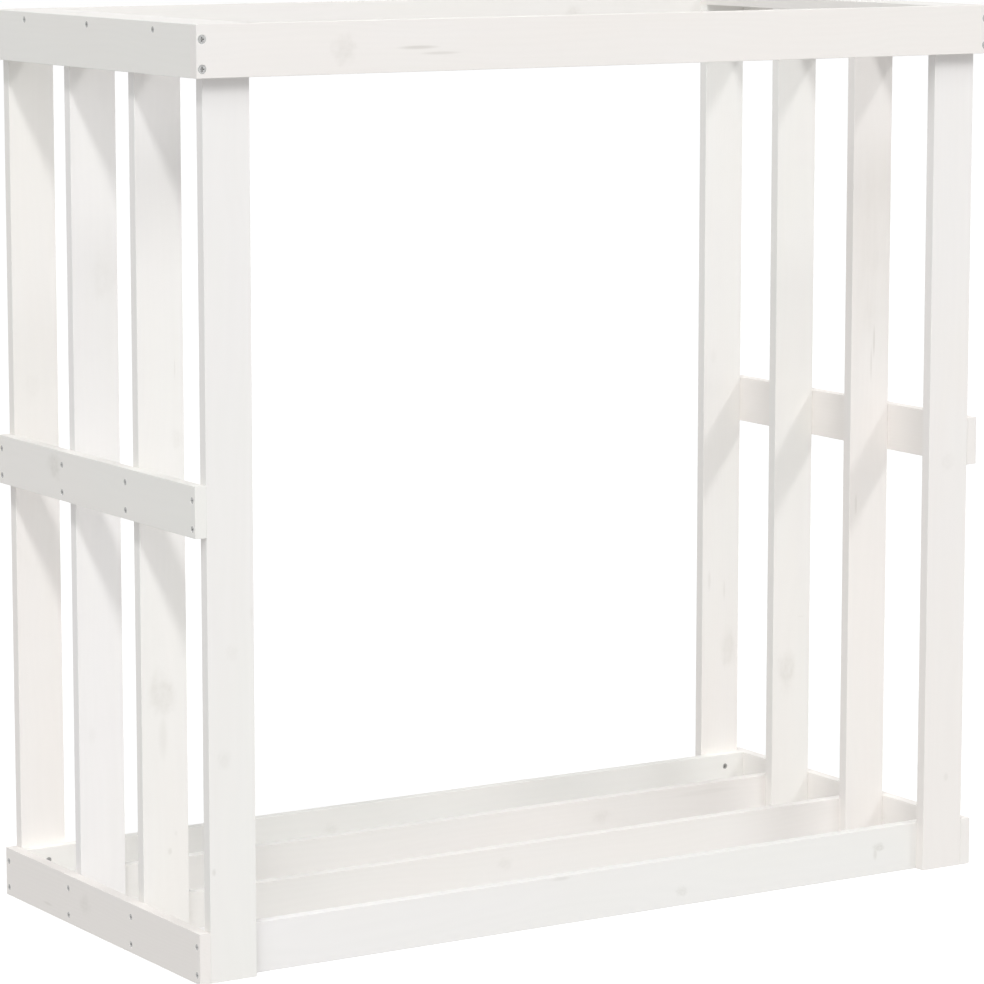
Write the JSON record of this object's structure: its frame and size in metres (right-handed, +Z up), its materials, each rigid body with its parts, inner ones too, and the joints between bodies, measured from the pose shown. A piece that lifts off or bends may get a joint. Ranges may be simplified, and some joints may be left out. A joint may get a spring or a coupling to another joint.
{
  "type": "firewood rack",
  "caption": "Free-standing open firewood rack of white-lacquered softwood boards: slatted side walls, floor rails on edge and a top frame, screwed together.",
  "frame": {"origin": "on the floor, under the middle of the rack's outer box", "axes": "+X along the rack from left to right, +Y from the front to the back, +Z up"},
  "size_m": [1.08, 0.52, 1.06],
  "materials": {
    "white_lacquered_wood": "thin matt white lacquer over planed softwood",
    "zinc_plated_steel": "zinc plated, slightly dull"
  },
  "bodies": {
    "root": {"back_floor_rail": "white_lacquered_wood", "back_floor_rail_screws": "zinc_plated_steel", "front_floor_rail": "white_lacquered_wood", "front_floor_rail_screws": "zinc_plated_steel", "left_back_post": "white_lacquered_wood", "left_bottom_rail": "white_lacquered_wood", "left_bottom_rail_screws": "zinc_plated_steel", "left_front_post": "white_lacquered_wood", "left_mid_back_post": "white_lacquered_wood", "left_mid_front_post": "white_lacquered_wood", "left_middle_rail": "white_lacquered_wood", "left_middle_rail_screws": "zinc_plated_steel", "left_top_board": "white_lacquered_wood", "left_top_board_screws": "zinc_plated_steel", "left_top_rail": "white_lacquered_wood", "left_top_rail_screws": "zinc_plated_steel", "mid_back_floor_rail": "white_lacquered_wood", "mid_back_floor_rail_screws": "zinc_plated_steel", "mid_front_floor_rail": "white_lacquered_wood", "mid_front_floor_rail_screws": "zinc_plated_steel", "right_back_post": "white_lacquered_wood", "right_bottom_rail": "white_lacquered_wood", "right_bottom_rail_screws": "zinc_plated_steel", "right_front_post": "white_lacquered_wood", "right_mid_back_post": "white_lacquered_wood", "right_mid_front_post": "white_lacquered_wood", "right_middle_rail": "white_lacquered_wood", "right_middle_rail_screws": "zinc_plated_steel", "right_top_board": "white_lacquered_wood", "right_top_board_screws": "zinc_plated_steel", "right_top_rail": "white_lacquered_wood", "right_top_rail_screws": "zinc_plated_steel", "top_back_rail": "white_lacquered_wood", "top_corner_screws": "zinc_plated_steel", "top_front_rail": "white_lacquered_wood"}
  },
  "joints": []
}
